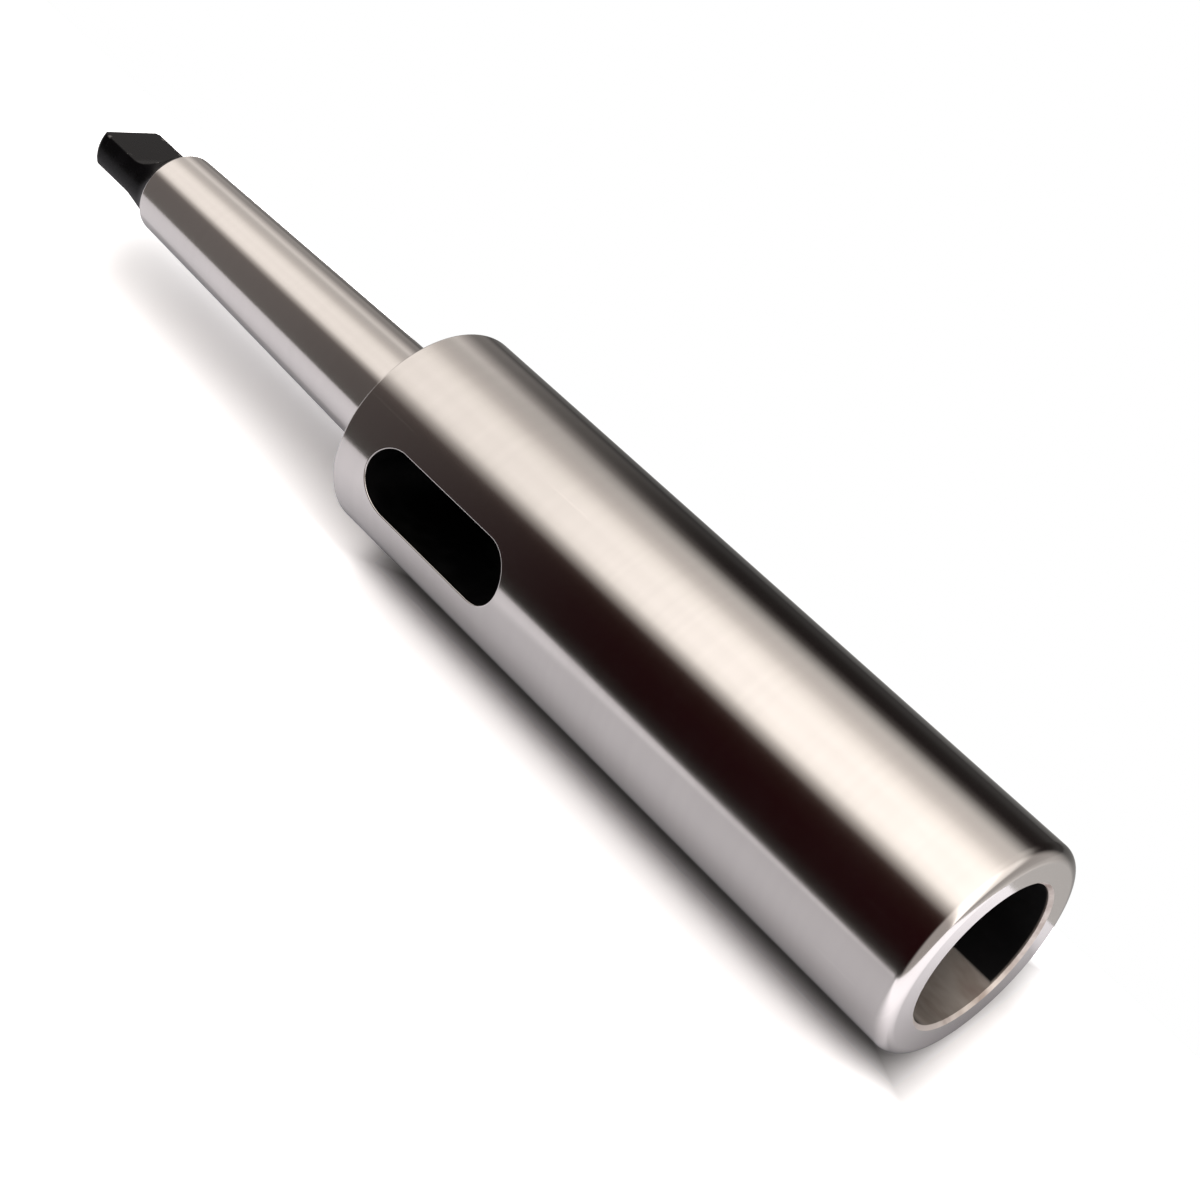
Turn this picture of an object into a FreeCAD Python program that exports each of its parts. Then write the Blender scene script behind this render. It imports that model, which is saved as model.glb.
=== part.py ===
import FreeCAD, Part
import os
import math

# Taper extension sleeve, turned, milled and ground from one bar of steel.
# A No. 2 taper shank with a driving tang carries a plain cylindrical body, and
# the body holds a No. 3 taper socket with a drift slot through both walls.
#
# The sleeve stands on its mouth face. The origin is the centre of that face,
# +Z runs up the axis to the tang, the drift slot passes through along Y, and
# the flats of the tang face +X and -X.

# ---- shank, No. 2 outside taper (sizes in millimetres) ----
SHANK_GAUGE_DIAMETER = 17.780     # at the gauge line
SHANK_TAPER = 0.04995             # loss of diameter for each millimetre of length
SHOULDER_TO_GAUGE = 11.0
GAUGE_TO_TANG_END = 75.0
ROOT_FILLET = 0.8                 # between the shoulder and the foot of the shank
SHANK_END_ROUND = 0.5             # edge of the ground taper at its small end

# ---- tang ----
TANG_LENGTH = 16.0                # from the end of the ground taper
TANG_THICKNESS = 5.6
NECK_DIAMETER = 12.4              # round stock that the flats are milled on
NECK_HOLLOW = 5.0                 # radius that leads from the taper's end to the neck
FLAT_RUN_OUT = 6.0                # radius that the cutter leaves at the foot of a flat
TAPER_TO_RUN_OUT = 0.6            # clear length between the ground taper and a run-out
TANG_CORNER = 1.3
TANG_EDGE_BREAK = 0.35

# ---- body ----
BODY_DIAMETER = 35.0
MOUTH_ROUND = 2.0                 # outer edge of the mouth face
SHOULDER_ROUND = 0.4              # outer edge of the shoulder

# ---- socket, No. 3 inside taper ----
SOCKET_GAUGE_DIAMETER = 23.825    # at the mouth face
SOCKET_TAPER = 0.05020
SOCKET_MOUTH_BREAK = 0.5          # small cone round the mouth
PILOT_DIAMETER = 20.2             # straight hole past the end of the reamed taper
PILOT_PAST_SLOT_START = 6.0
DRILL_POINT_ANGLE = 118.0

# ---- drift slot ----
MOUTH_TO_SLOT = 81.2
SLOT_LENGTH = 30.6
SLOT_WIDTH = 10.6
SLOT_TO_SHOULDER = 6.7
SLOT_EDGE_ROUND = 0.25

# ---- worked out from the sizes above ----
BODY_RADIUS = BODY_DIAMETER / 2
BODY_LENGTH = MOUTH_TO_SLOT + SLOT_LENGTH + SLOT_TO_SHOULDER
SHANK_SLOPE = SHANK_TAPER / 2
SHANK_ANGLE = math.degrees(math.atan(SHANK_SLOPE))
SHANK_ROOT_RADIUS = SHANK_GAUGE_DIAMETER / 2 + SHANK_SLOPE * SHOULDER_TO_GAUGE
TANG_END = BODY_LENGTH + SHOULDER_TO_GAUGE + GAUGE_TO_TANG_END
TAPER_END = TANG_END - TANG_LENGTH
NECK_RADIUS = NECK_DIAMETER / 2
FLAT_START = TAPER_END + TAPER_TO_RUN_OUT + FLAT_RUN_OUT
CUTTER_OVERRUN = 1.0              # how far a cut runs past the faces that it opens


def shank_radius(z):
    return SHANK_ROOT_RADIUS - SHANK_SLOPE * (z - BODY_LENGTH)


def at(x, z):
    """A point of the XZ plane, where every profile is drawn."""
    return FreeCAD.Vector(x, 0, z)


def arc(x, z, radius, start_angle, end_angle):
    """Start, middle and end of an arc about (x, z), with its angles in degrees."""
    turn = [start_angle, (start_angle + end_angle) / 2, end_angle]
    return [at(x + radius * math.cos(math.radians(a)),
               z + radius * math.sin(math.radians(a))) for a in turn]


def profile(*steps):
    """Closed face through steps, each a point or the three points of an arc."""
    edges = []
    first = last = None
    for step in steps:
        start, end = (step[0], step[2]) if isinstance(step, list) else (step, step)
        if last is not None and start.distanceToPoint(last) > 1e-7:
            edges.append(Part.LineSegment(last, start).toShape())
        if isinstance(step, list):
            edges.append(Part.Arc(*step).toShape())
        first = first or start
        last = end
    edges.append(Part.LineSegment(last, first).toShape())
    return Part.Face(Part.Wire(edges))


def turned(face):
    return face.revolve(FreeCAD.Vector(), FreeCAD.Vector(0, 0, 1), 360)


def blank():
    """Body, shank and neck as they leave the lathe."""
    root_x = shank_radius(BODY_LENGTH + ROOT_FILLET) + ROOT_FILLET * math.hypot(1, SHANK_SLOPE)
    end_z = TAPER_END - SHANK_END_ROUND
    end_x = shank_radius(end_z) - SHANK_END_ROUND * math.hypot(1, SHANK_SLOPE)
    step = end_x - NECK_RADIUS
    hollow_angle = math.degrees(math.acos(1 - step / NECK_HOLLOW))
    hollow_z = TAPER_END + NECK_HOLLOW * math.sin(math.radians(hollow_angle))
    return turned(profile(
        at(0, 0),
        arc(BODY_RADIUS - MOUTH_ROUND, MOUTH_ROUND, MOUTH_ROUND, -90, 0),
        arc(BODY_RADIUS - SHOULDER_ROUND, BODY_LENGTH - SHOULDER_ROUND,
            SHOULDER_ROUND, 0, 90),
        arc(root_x, BODY_LENGTH + ROOT_FILLET, ROOT_FILLET, 270, 180 + SHANK_ANGLE),
        arc(end_x, end_z, SHANK_END_ROUND, SHANK_ANGLE, 90),
        arc(NECK_RADIUS + NECK_HOLLOW, hollow_z, NECK_HOLLOW, 180 + hollow_angle, 180),
        arc(NECK_RADIUS - TANG_CORNER, TANG_END - TANG_CORNER, TANG_CORNER, 0, 90),
        at(0, TANG_END)))


def socket():
    """Room inside the body: mouth cone, reamed taper, pilot hole and drill point."""
    gauge_radius = SOCKET_GAUGE_DIAMETER / 2
    pilot_radius = PILOT_DIAMETER / 2
    reamed_depth = (SOCKET_GAUGE_DIAMETER - PILOT_DIAMETER) / SOCKET_TAPER
    pilot_depth = MOUTH_TO_SLOT + PILOT_PAST_SLOT_START
    point_depth = pilot_depth + pilot_radius / math.tan(math.radians(DRILL_POINT_ANGLE / 2))
    wide_radius = gauge_radius + SOCKET_MOUTH_BREAK
    break_radius = gauge_radius - SOCKET_TAPER / 2 * SOCKET_MOUTH_BREAK
    return turned(profile(
        at(0, -CUTTER_OVERRUN),
        at(wide_radius, -CUTTER_OVERRUN),
        at(wide_radius, 0),
        at(break_radius, SOCKET_MOUTH_BREAK),
        at(pilot_radius, reamed_depth),
        at(pilot_radius, pilot_depth),
        at(0, point_depth)))


def drift_slot():
    """Slot with round ends, through both walls along Y."""
    reach = BODY_RADIUS + CUTTER_OVERRUN
    end_radius = SLOT_WIDTH / 2
    low = MOUTH_TO_SLOT + end_radius
    high = MOUTH_TO_SLOT + SLOT_LENGTH - end_radius
    shape = profile(arc(0, low, end_radius, 180, 360), arc(0, high, end_radius, 0, 180))
    shape.translate(FreeCAD.Vector(0, -reach, 0))
    return shape.extrude(FreeCAD.Vector(0, 2 * reach, 0))


def flat_cutter(side):
    """Metal milled off one side of the tang; side is +1 or -1."""
    half = TANG_THICKNESS / 2
    reach = NECK_RADIUS + CUTTER_OVERRUN
    top = TANG_END + CUTTER_OVERRUN
    foot_angle = math.degrees(math.acos(1 - (reach - half) / FLAT_RUN_OUT))
    face = profile(
        at(half - TANG_EDGE_BREAK, top),
        at(half - TANG_EDGE_BREAK, TANG_END),
        at(half, TANG_END - TANG_EDGE_BREAK),
        arc(half + FLAT_RUN_OUT, FLAT_START, FLAT_RUN_OUT, 180, 180 + foot_angle),
        at(reach, top))
    face.translate(FreeCAD.Vector(0, -reach, 0))
    cutter = face.extrude(FreeCAD.Vector(0, 2 * reach, 0))
    if side < 0:
        cutter = cutter.mirror(FreeCAD.Vector(), FreeCAD.Vector(1, 0, 0))
    return cutter


def on_slot_rim(edge):
    """True where an edge lies between the body's outside and a wall of the slot."""
    points = edge.discretize(5)
    outside = all(abs(math.hypot(p.x, p.y) - BODY_RADIUS) < 1e-3 for p in points)
    in_slot = all(abs(p.x) < SLOT_WIDTH / 2 + 1e-3 for p in points)
    return outside and in_slot and all(
        MOUTH_TO_SLOT - 1e-3 < p.z < MOUTH_TO_SLOT + SLOT_LENGTH + 1e-3 for p in points)


def taper_sleeve():
    body = blank().cut([socket(), drift_slot(), flat_cutter(1), flat_cutter(-1)])
    rim = [edge for edge in body.Edges if on_slot_rim(edge)]
    body = body.makeFillet(SLOT_EDGE_ROUND, rim)
    return body.removeSplitter().Solids[0]


os.makedirs("parts", exist_ok=True)
taper_sleeve().exportStep("parts/taper_sleeve.step")
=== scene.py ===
import math

import bpy
from mathutils import Matrix, Vector


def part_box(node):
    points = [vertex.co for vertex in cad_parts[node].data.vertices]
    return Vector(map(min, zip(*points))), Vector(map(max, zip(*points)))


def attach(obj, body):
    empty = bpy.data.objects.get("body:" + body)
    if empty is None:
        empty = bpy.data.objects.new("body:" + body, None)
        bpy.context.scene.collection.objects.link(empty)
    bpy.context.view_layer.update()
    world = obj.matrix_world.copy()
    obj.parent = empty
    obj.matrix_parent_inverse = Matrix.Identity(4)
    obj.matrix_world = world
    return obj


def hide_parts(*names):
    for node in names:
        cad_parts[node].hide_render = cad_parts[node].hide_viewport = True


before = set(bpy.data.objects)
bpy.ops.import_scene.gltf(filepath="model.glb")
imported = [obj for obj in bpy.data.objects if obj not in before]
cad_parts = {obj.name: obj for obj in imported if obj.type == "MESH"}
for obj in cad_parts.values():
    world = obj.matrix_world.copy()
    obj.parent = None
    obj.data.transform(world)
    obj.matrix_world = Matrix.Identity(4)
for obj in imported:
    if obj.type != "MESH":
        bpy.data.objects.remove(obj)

bl_info = {
    "name": "Morse Taper Sleeve",
    "version": (1, 0, 0),
    "blender": (4, 5, 0),
    "location": "View3D > Sidebar > Taper Sleeve",
    "description": "Builds a ground steel taper sleeve with a driving tang and a drift slot",
    "category": "Add Mesh",
}

NODE = "taper_sleeve"
LOW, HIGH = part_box(NODE)
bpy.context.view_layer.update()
MM = 0.001
BODY_WIDTH = HIGH[0] - LOW[0]
WHOLE_LENGTH = HIGH[2] - LOW[2]


# ---------------------------------------------------------------- settings

def length(name, description, default):
    return bpy.props.FloatProperty(
        name=name, description=description, default=default, min=0.0,
        precision=5, unit="LENGTH", subtype="DISTANCE")


def angle(name, description, degrees):
    return bpy.props.FloatProperty(
        name=name, description=description, default=math.radians(degrees),
        unit="ROTATION", subtype="ANGLE")


def share(name, description, default):
    return bpy.props.FloatProperty(
        name=name, description=description, default=default, min=0.0, max=1.0,
        subtype="FACTOR")


def level(name, description, default):
    return bpy.props.FloatProperty(
        name=name, description=description, default=default, min=0.0)


def colour(name, description, default):
    return bpy.props.FloatVectorProperty(
        name=name, description=description, default=default, size=3,
        min=0.0, max=1.0, subtype="COLOR")


class SleeveSizes(bpy.types.PropertyGroup):
    """Sizes of the sleeve."""

    body_diameter: length("Body Diameter", "Outside of the plain body", BODY_WIDTH)
    whole_length: length("Whole Length", "From the mouth face to the tang's end", WHOLE_LENGTH)
    body_length: length("Body Length", "From the mouth face to the shoulder", 118.5 * MM)
    mouth_round: length("Mouth Round", "Outer edge of the mouth face", 2.0 * MM)
    shoulder_round: length("Shoulder Round", "Outer edge of the shoulder", 0.4 * MM)
    root_fillet: length("Root Fillet", "Foot of the shank", 0.8 * MM)
    shank_gauge: length("Shank Gauge Diameter", "Outside taper at its gauge line", 17.78 * MM)
    shank_gauge_gap: length("Shoulder To Gauge", "Shoulder to the gauge line", 11.0 * MM)
    shank_taper: level("Shank Taper", "Diameter lost over each unit of length", 0.04995)
    shank_end_round: length("Shank End Round", "Small end of the ground taper", 0.5 * MM)
    tang_length: length("Tang Length", "From the end of the ground taper", 16.0 * MM)
    tang_thickness: length("Tang Thickness", "Across the two flats", 5.6 * MM)
    neck_diameter: length("Neck Diameter", "Round stock under the flats", 12.4 * MM)
    neck_hollow: length("Neck Hollow", "Radius between taper and neck", 5.0 * MM)
    flat_run_out: length("Flat Run-out", "Radius at the foot of a flat", 6.0 * MM)
    run_out_gap: length("Run-out Gap", "Ground taper to a run-out", 0.6 * MM)
    tang_corner: length("Tang Corner", "Round on the tang's end", 1.3 * MM)
    tang_break: length("Tang Edge Break", "Broken edge at the end of a flat", 0.35 * MM)
    tang_edge: length("Tang Edge Round", "Soft edge along a flat", 0.14 * MM)
    socket_gauge: length("Socket Gauge Diameter", "Inside taper at the mouth face", 23.825 * MM)
    socket_taper: level("Socket Taper", "Diameter lost over each unit of length", 0.0502)
    socket_break: length("Socket Mouth Break", "Small cone round the mouth", 0.5 * MM)
    pilot_diameter: length("Pilot Diameter", "Hole past the reamed taper", 20.2 * MM)
    pilot_reach: length("Pilot Reach", "How far the pilot hole passes the slot's start", 6.0 * MM)
    drill_point: angle("Drill Point", "Angle of the drill point", 118.0)
    slot_start: length("Mouth To Slot", "From the mouth face to the slot", 81.2 * MM)
    slot_length: length("Slot Length", "Over the round ends", 30.6 * MM)
    slot_width: length("Slot Width", "Between the walls", 10.6 * MM)
    slot_edge: length("Slot Edge Round", "Rim of the slot", 0.25 * MM)


class SleeveFinish(bpy.types.PropertyGroup):
    """Colours and finishes of the sleeve."""

    steel: colour("Steel", "Ground and polished steel", (0.640, 0.612, 0.590))
    steel_roughness: share("Steel Roughness", "Gloss of the ground outside", 0.10)
    line_depth: share("Line Depth", "Strength of the grinding lines", 0.035)
    bore: colour("Bore", "Reamed steel inside the socket", (0.640, 0.590, 0.545))
    bore_roughness: share("Bore Roughness", "Gloss of the reamed socket", 0.50)
    oxide: colour("Black Oxide", "Heat treatment scale on tang and slot", (0.0016, 0.0015, 0.0019))
    oxide_roughness: share("Oxide Roughness", "Gloss of the black scale", 0.25)
    rust: colour("Tint", "Warm tint of thin scale", (0.10, 0.045, 0.025))


class SleeveStage(bpy.types.PropertyGroup):
    """Camera, floor and light."""

    aim_height: length("Aim Height", "Point of the axis that the camera looks at", 76.45 * MM)
    aim_side: length("Aim Offset", "How far the aim lies off the axis", 0.595 * MM)
    distance: length("Camera Distance", "From the aim to the camera", 335.9 * MM)
    azimuth: angle("Camera Azimuth", "Turn round the axis", 33.457)
    elevation: angle("Camera Elevation", "Height above the mouth plane", -29.67)
    roll: angle("Camera Roll", "Lean of the camera", 46.548)
    lens: level("Lens", "Focal length in millimetres", 70.65)
    floor_turn: angle("Floor Azimuth", "Direction that the floor faces", 61.0)
    floor_colour: colour("Floor", "Pale floor", (0.92, 0.94, 0.97))
    # floor_seen is painted shade in reflection: the floor's darker colour as only the metal shows
    # it; floor_gain paints the floor brighter than white to the camera.
    floor_seen: colour("Floor In Metal", "Floor as the metal shows it", (0.535, 0.547, 0.600))
    # floor_glow is painted light: a faint glow of the floor that only the metal shows.
    floor_glow: level("Floor Glow", "Least light that the metal finds on the floor", 0.05)
    lamp_power: level("Lamp Power", "Soft lamp over the floor, in watts", 0.9)
    floor_gain: level("Floor Gain", "How far the bright floor passes white", 2.3)


# ---------------------------------------------------------------- mesh work

QUARTER = 54
PATCH_STEPS = 24
PATCH_TURN = math.radians(30)
SIDES = ((1, 1), (-1, 1), (-1, -1), (1, -1))


class Skin:
    """Vertices, faces and corner normals of one piece, in metres."""

    def __init__(self):
        self.points = []
        self.index = {}
        self.faces = []
        self.normals = []
        self.edge = []

    def vertex(self, point, edge=0.0):
        key = tuple(round(c * 1e7) for c in point)
        if key not in self.index:
            self.index[key] = len(self.points)
            self.points.append(tuple(point))
            self.edge.append(edge)
        number = self.index[key]
        self.edge[number] = max(self.edge[number], edge)
        return number

    def face(self, corners):
        """Adds a face from (point, normal, edge) corners, wound to agree with the normals."""
        ring = []
        for point, normal, edge in corners:
            number = self.vertex(point, edge)
            if not ring or ring[-1][0] != number:
                ring.append((number, normal))
        if len(ring) > 1 and ring[0][0] == ring[-1][0]:
            ring.pop()
        if len({number for number, _ in ring}) < 3:
            return
        a, b, c = (Vector(self.points[ring[i][0]]) for i in (0, 1, 2))
        cross = (b - a).cross(c - a)
        if len(ring) == 4:
            d = Vector(self.points[ring[3][0]])
            cross = (c - a).cross(d - b)
        mean = sum((Vector(normal) for _, normal in ring), Vector())
        if cross.dot(mean) < 0:
            ring.reverse()
        self.faces.append([number for number, _ in ring])
        self.normals.append([normal for _, normal in ring])

    def grid(self, rows, closed=False):
        """Quads between rows of equal length."""
        for low, high in zip(rows, rows[1:]):
            count = len(low)
            for i in range(count if closed else count - 1):
                j = (i + 1) % count
                self.face([low[i], low[j], high[j], high[i]])

    def stitch(self, low, high):
        """Triangles between two closed rings whose corners differ in number."""
        i = j = 0
        while i < len(low) or j < len(high):
            if j >= len(high) or (i < len(low) and (i + 1) / len(low) <= (j + 1) / len(high)):
                self.face([low[i], low[(i + 1) % len(low)], high[j % len(high)]])
                i += 1
            else:
                self.face([low[i % len(low)], high[(j + 1) % len(high)], high[j]])
                j += 1

    def mesh(self, name):
        mesh = bpy.data.meshes.new(name)
        mesh.from_pydata(self.points, [], self.faces)
        for polygon in mesh.polygons:
            polygon.use_smooth = True
        if len(mesh.polygons) != len(self.faces):
            raise RuntimeError(f"{name}: some faces were lost")
        mesh.normals_split_custom_set([n for ring in self.normals for n in ring])
        wear = mesh.attributes.new("edge_nearness", "FLOAT", "POINT")
        wear.data.foreach_set("value", self.edge)
        mesh.update()
        return mesh


def unit(*parts):
    size = math.sqrt(sum(c * c for c in parts)) or 1.0
    return tuple(c / size for c in parts)


def quarter_turns():
    """Turns from the slot's middle to the flats' middle, close together by the slot."""
    turns = [PATCH_TURN * i / PATCH_STEPS for i in range(PATCH_STEPS)]
    rest = QUARTER - PATCH_STEPS
    turns += [PATCH_TURN + (math.pi / 2 - PATCH_TURN) * i / rest for i in range(rest + 1)]
    return turns


def full_turns():
    """Turns all round, measured from +Y towards +X."""
    quarter = quarter_turns()
    turns = quarter[:-1]
    turns += [math.pi - t for t in reversed(quarter[1:])]
    turns += [math.pi + t for t in quarter[:-1]]
    turns += [2 * math.pi - t for t in reversed(quarter[1:])]
    return turns


def ring_row(radius, height, slope, turns, edge=0.0):
    """One row of a turned surface; slope is its normal as (outward, upward)."""
    out, up = unit(*slope)
    return [((radius * math.sin(t), radius * math.cos(t), height),
             (out * math.sin(t), out * math.cos(t), up), edge) for t in turns]


def arc_rows(x, z, radius, start, end, steps, hollow=False, edge=0.0):
    """Profile points (radius, height, slope, edge) of an arc in the XZ plane."""
    rows = []
    for i in range(steps + 1):
        a = math.radians(start + (end - start) * i / steps)
        slope = (math.cos(a), math.sin(a))
        if hollow:
            slope = (-slope[0], -slope[1])
        rows.append((x + radius * math.cos(a), z + radius * math.sin(a), slope, edge))
    return rows


def turn_profile(skin, rows):
    turns = full_turns()
    skin.grid([ring_row(r, z, slope, turns, edge) for r, z, slope, edge in rows], closed=True)


def line_rows(start, end, slope, steps=1, edges=(0.0, 0.0)):
    """Profile points of a straight run from start to end, each (radius, height)."""
    rows = []
    for i in range(steps + 1):
        s = i / steps
        edge = edges[0] if i == 0 else edges[1] if i == steps else 0.0
        rows.append((start[0] + (end[0] - start[0]) * s,
                     start[1] + (end[1] - start[1]) * s, slope, edge))
    return rows


# ---------------------------------------------------------------- shapes

def sizes():
    return bpy.context.scene.sleeve_sizes


def shank_radius(z):
    s = sizes()
    slope = s.shank_taper / 2
    return s.shank_gauge / 2 - slope * (z - s.body_length - s.shank_gauge_gap)


def bore_radius(z):
    """Radius of the room inside the body at a height."""
    s = sizes()
    pilot = s.pilot_diameter / 2
    deep = s.slot_start + s.pilot_reach
    if z > deep:
        return max(0.0, pilot - (z - deep) * math.tan(s.drill_point / 2))
    return max(pilot, s.socket_gauge / 2 - s.socket_taper / 2 * z)


def slot_outline():
    """Half of the slot's outline, x >= 0, as (x, z, outward x, outward z)."""
    s = sizes()
    w = s.slot_width / 2
    low = s.slot_start + w
    high = s.slot_start + s.slot_length - w
    deep = s.slot_start + s.pilot_reach
    leave = deep + (s.pilot_diameter / 2 - w) / math.tan(s.drill_point / 2)
    steps = 2 * PATCH_STEPS
    points = []
    for i in range(steps + 1):
        a = math.pi / 2 * (i / steps - 1)
        points.append((w * math.cos(a), low + w * math.sin(a), math.cos(a), math.sin(a)))
    inner = [deep, (deep + leave) / 2, leave]
    inner += [leave + (high - leave) * i / 8 for i in range(1, 8)]
    points += [(w, z, 1.0, 0.0) for z in inner]
    for i in range(steps + 1):
        a = math.pi / 2 * i / steps
        points.append((w * math.cos(a), high + w * math.sin(a), math.cos(a), math.sin(a)))
    points[0] = (0.0, s.slot_start, 0.0, -1.0)
    points[-1] = (0.0, s.slot_start + s.slot_length, 0.0, 1.0)
    return points


def patch_edge(points, z_low, z_high):
    """Where each outline point's line across the wall ends, as (turn, height)."""
    steps = PATCH_STEPS
    s = sizes()
    low = s.slot_start + s.slot_width / 2
    high = s.slot_start + s.slot_length - s.slot_width / 2
    ends = []
    last = len(points) - 1
    for i, (x, z, nx, nz) in enumerate(points):
        if i <= steps:
            ends.append((PATCH_TURN * i / steps, z_low))
        elif i <= 2 * steps:
            ends.append((PATCH_TURN, z_low + (low - z_low) * (i - steps) / steps))
        elif last - i <= steps:
            ends.append((PATCH_TURN * (last - i) / steps, z_high))
        elif last - i <= 2 * steps:
            ends.append((PATCH_TURN, z_high + (high - z_high) * (last - i - steps) / steps))
        else:
            ends.append((PATCH_TURN, z))
    return ends


def body_wall(skin):
    """The plain cylinder with the rims of the slot in both sides."""
    s = sizes()
    radius = s.body_diameter / 2
    bottom = s.mouth_round
    top = s.body_length - s.shoulder_round
    z_low = s.slot_start - 5 * MM
    z_high = s.slot_start + s.slot_length + 5 * MM
    outline = slot_outline()
    ends = patch_edge(outline, z_low, z_high)
    turns = full_turns()
    flat = (1.0, 0.0)
    lower = [bottom + (z_low - bottom) * i / 12 for i in range(13)]
    skin.grid([ring_row(radius, z, flat, turns, 0.6 if z == bottom else 0.0) for z in lower],
              closed=True)
    skin.grid([ring_row(radius, z, flat, turns) for z in (z_high, top)], closed=True)
    heights = sorted({z for turn, z in ends if turn >= PATCH_TURN})
    quarter = [t for t in quarter_turns() if t >= PATCH_TURN - 1e-9]
    side = quarter + [math.pi - t for t in reversed(quarter[:-1])]
    for shift in (0.0, math.pi):
        skin.grid([ring_row(radius, z, flat, [t + shift for t in side]) for z in heights])
    for across, along in SIDES:
        rings = rim_rings(outline, ends, radius, s.slot_edge, across, along)
        skin.grid(rings)


def rim_rings(outline, ends, radius, fillet, across, along):
    """Rows round a quarter's rim, from the wall of the slot out to the body's wall."""
    rings = []
    for k in range(7):
        a = math.pi / 2 * k / 6
        ring = []
        for x, z, nx, nz in outline:
            px = x + nx * fillet * (1 - math.cos(a))
            pz = z + nz * fillet * (1 - math.cos(a))
            py = math.sqrt(radius ** 2 - px ** 2) - fillet * (1 - math.sin(a))
            out = (px / radius, math.sqrt(1 - (px / radius) ** 2))
            normal = unit(math.sin(a) * out[0] - math.cos(a) * nx,
                          math.sin(a) * out[1], -math.cos(a) * nz)
            ring.append(((across * px, along * py, pz),
                         (across * normal[0], along * normal[1], normal[2]), 1.0))
        rings.append(ring)
    for k in range(1, 11):
        part = (k / 10) ** 1.5
        ring = []
        for (x, z, nx, nz), (turn, height) in zip(outline, ends):
            near = math.asin((x + nx * fillet) / radius)
            t = near + (turn - near) * part
            h = z + nz * fillet + (height - z - nz * fillet) * part
            ring.append(((across * radius * math.sin(t), along * radius * math.cos(t), h),
                         (across * math.sin(t), along * math.cos(t), 0.0),
                         max(0.0, 1.0 - 4 * part)))
        rings.append(ring)
    return rings


def outside():
    """Mouth face, body, shoulder and ground shank."""
    s = sizes()
    skin = Skin()
    radius = s.body_diameter / 2
    wide = s.socket_gauge / 2 + s.socket_break
    face = radius - s.mouth_round
    turn_profile(skin, line_rows((wide, 0.0), (face, 0.0), (0.0, -1.0), 6, (1.0, 0.4)))
    turn_profile(skin, arc_rows(face, s.mouth_round, s.mouth_round, -90, 0, 20, edge=0.4))
    body_wall(skin)
    z = s.body_length - s.shoulder_round
    turn_profile(skin, arc_rows(radius - s.shoulder_round, z, s.shoulder_round, 0, 90, 10,
                                edge=1.0))
    lean = s.shank_taper / 2
    tilt = math.degrees(math.atan(lean))
    foot = s.body_length + s.root_fillet
    root = shank_radius(foot) + s.root_fillet * math.hypot(1, lean)
    turn_profile(skin, line_rows((radius - s.shoulder_round, s.body_length),
                                 (root, s.body_length), (0.0, 1.0), 4, (1.0, 0.0)))
    turn_profile(skin, arc_rows(root, foot, s.root_fillet, 270, 180 + tilt, 10, hollow=True))
    end = s.whole_length - s.tang_length - s.shank_end_round
    end_x = shank_radius(end) - s.shank_end_round * math.hypot(1, lean)
    fillet = arc_rows(root, foot, s.root_fillet, 270, 180 + tilt, 10, hollow=True)[-1]
    round_rows = arc_rows(end_x, end, s.shank_end_round, tilt, 90, 10, edge=0.8)
    turn_profile(skin, line_rows(fillet[:2], round_rows[0][:2], (1.0, lean), 16, (0.0, 0.8)))
    turn_profile(skin, round_rows)
    return skin.mesh("ground_outside")


def socket():
    """Mouth cone, reamed taper, pilot hole and what the slot leaves of the drill point."""
    s = sizes()
    skin = Skin()
    gauge = s.socket_gauge / 2
    lean = s.socket_taper / 2
    start = (gauge - lean * s.socket_break, s.socket_break)
    cone = unit(-s.socket_break, -(gauge + s.socket_break - start[0]))
    turn_profile(skin, line_rows((gauge + s.socket_break, 0.0), start, cone, 2, (1.0, 0.6)))
    pilot = s.pilot_diameter / 2
    reamed = (gauge - pilot) / lean
    turn_profile(skin, line_rows(start, (pilot, reamed), (-1.0, -lean), 24, (0.6, 0.0)))
    turn_profile(skin, line_rows((pilot, reamed), (pilot, s.slot_start), (-1.0, 0.0), 4))
    deep = s.slot_start + s.pilot_reach
    half = s.drill_point / 2
    kept = [p for p in slot_outline() if bore_radius(p[1]) >= p[0] - 1e-9 and p[1] < deep * 1.2]
    for name, test, slope in (
            ("pilot", lambda z: z <= deep + 1e-9, (-1.0, 0.0)),
            ("point", lambda z: z >= deep - 1e-9, (-math.cos(half), -math.sin(half)))):
        rows = [p for p in kept if test(p[1])]
        for across, along in SIDES:
            skin.grid([bore_row(p, slope, across, along) for p in rows])
    return skin.mesh("taper_socket")


def bore_row(point, slope, across, along):
    x, z = point[:2]
    radius = max(bore_radius(z), x)
    first = math.asin(min(1.0, x / radius))
    row = []
    for t in quarter_turns():
        turn = first + (math.pi / 2 - first) * t / (math.pi / 2)
        out = (across * math.sin(turn), along * math.cos(turn))
        row.append(((radius * out[0], radius * out[1], z),
                    (slope[0] * out[0], slope[0] * out[1], slope[1]), 0.0))
    return row


def slot():
    """Walls of the drift slot."""
    s = sizes()
    skin = Skin()
    radius = s.body_diameter / 2
    outline = slot_outline()
    for across, along in SIDES:
        rows = []
        for k in range(9):
            row = []
            for x, z, nx, nz in outline:
                outer = math.sqrt(radius ** 2 - x ** 2) - s.slot_edge
                inner = math.sqrt(max(0.0, bore_radius(z) ** 2 - x ** 2))
                y = outer + (inner - outer) * k / 8
                row.append(((across * x, along * y, z), (-across * nx, 0.0, -nz),
                            1.0 if k == 0 else 0.0))
            rows.append(row)
        skin.grid(rows)
    return skin.mesh("drift_slot")


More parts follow.
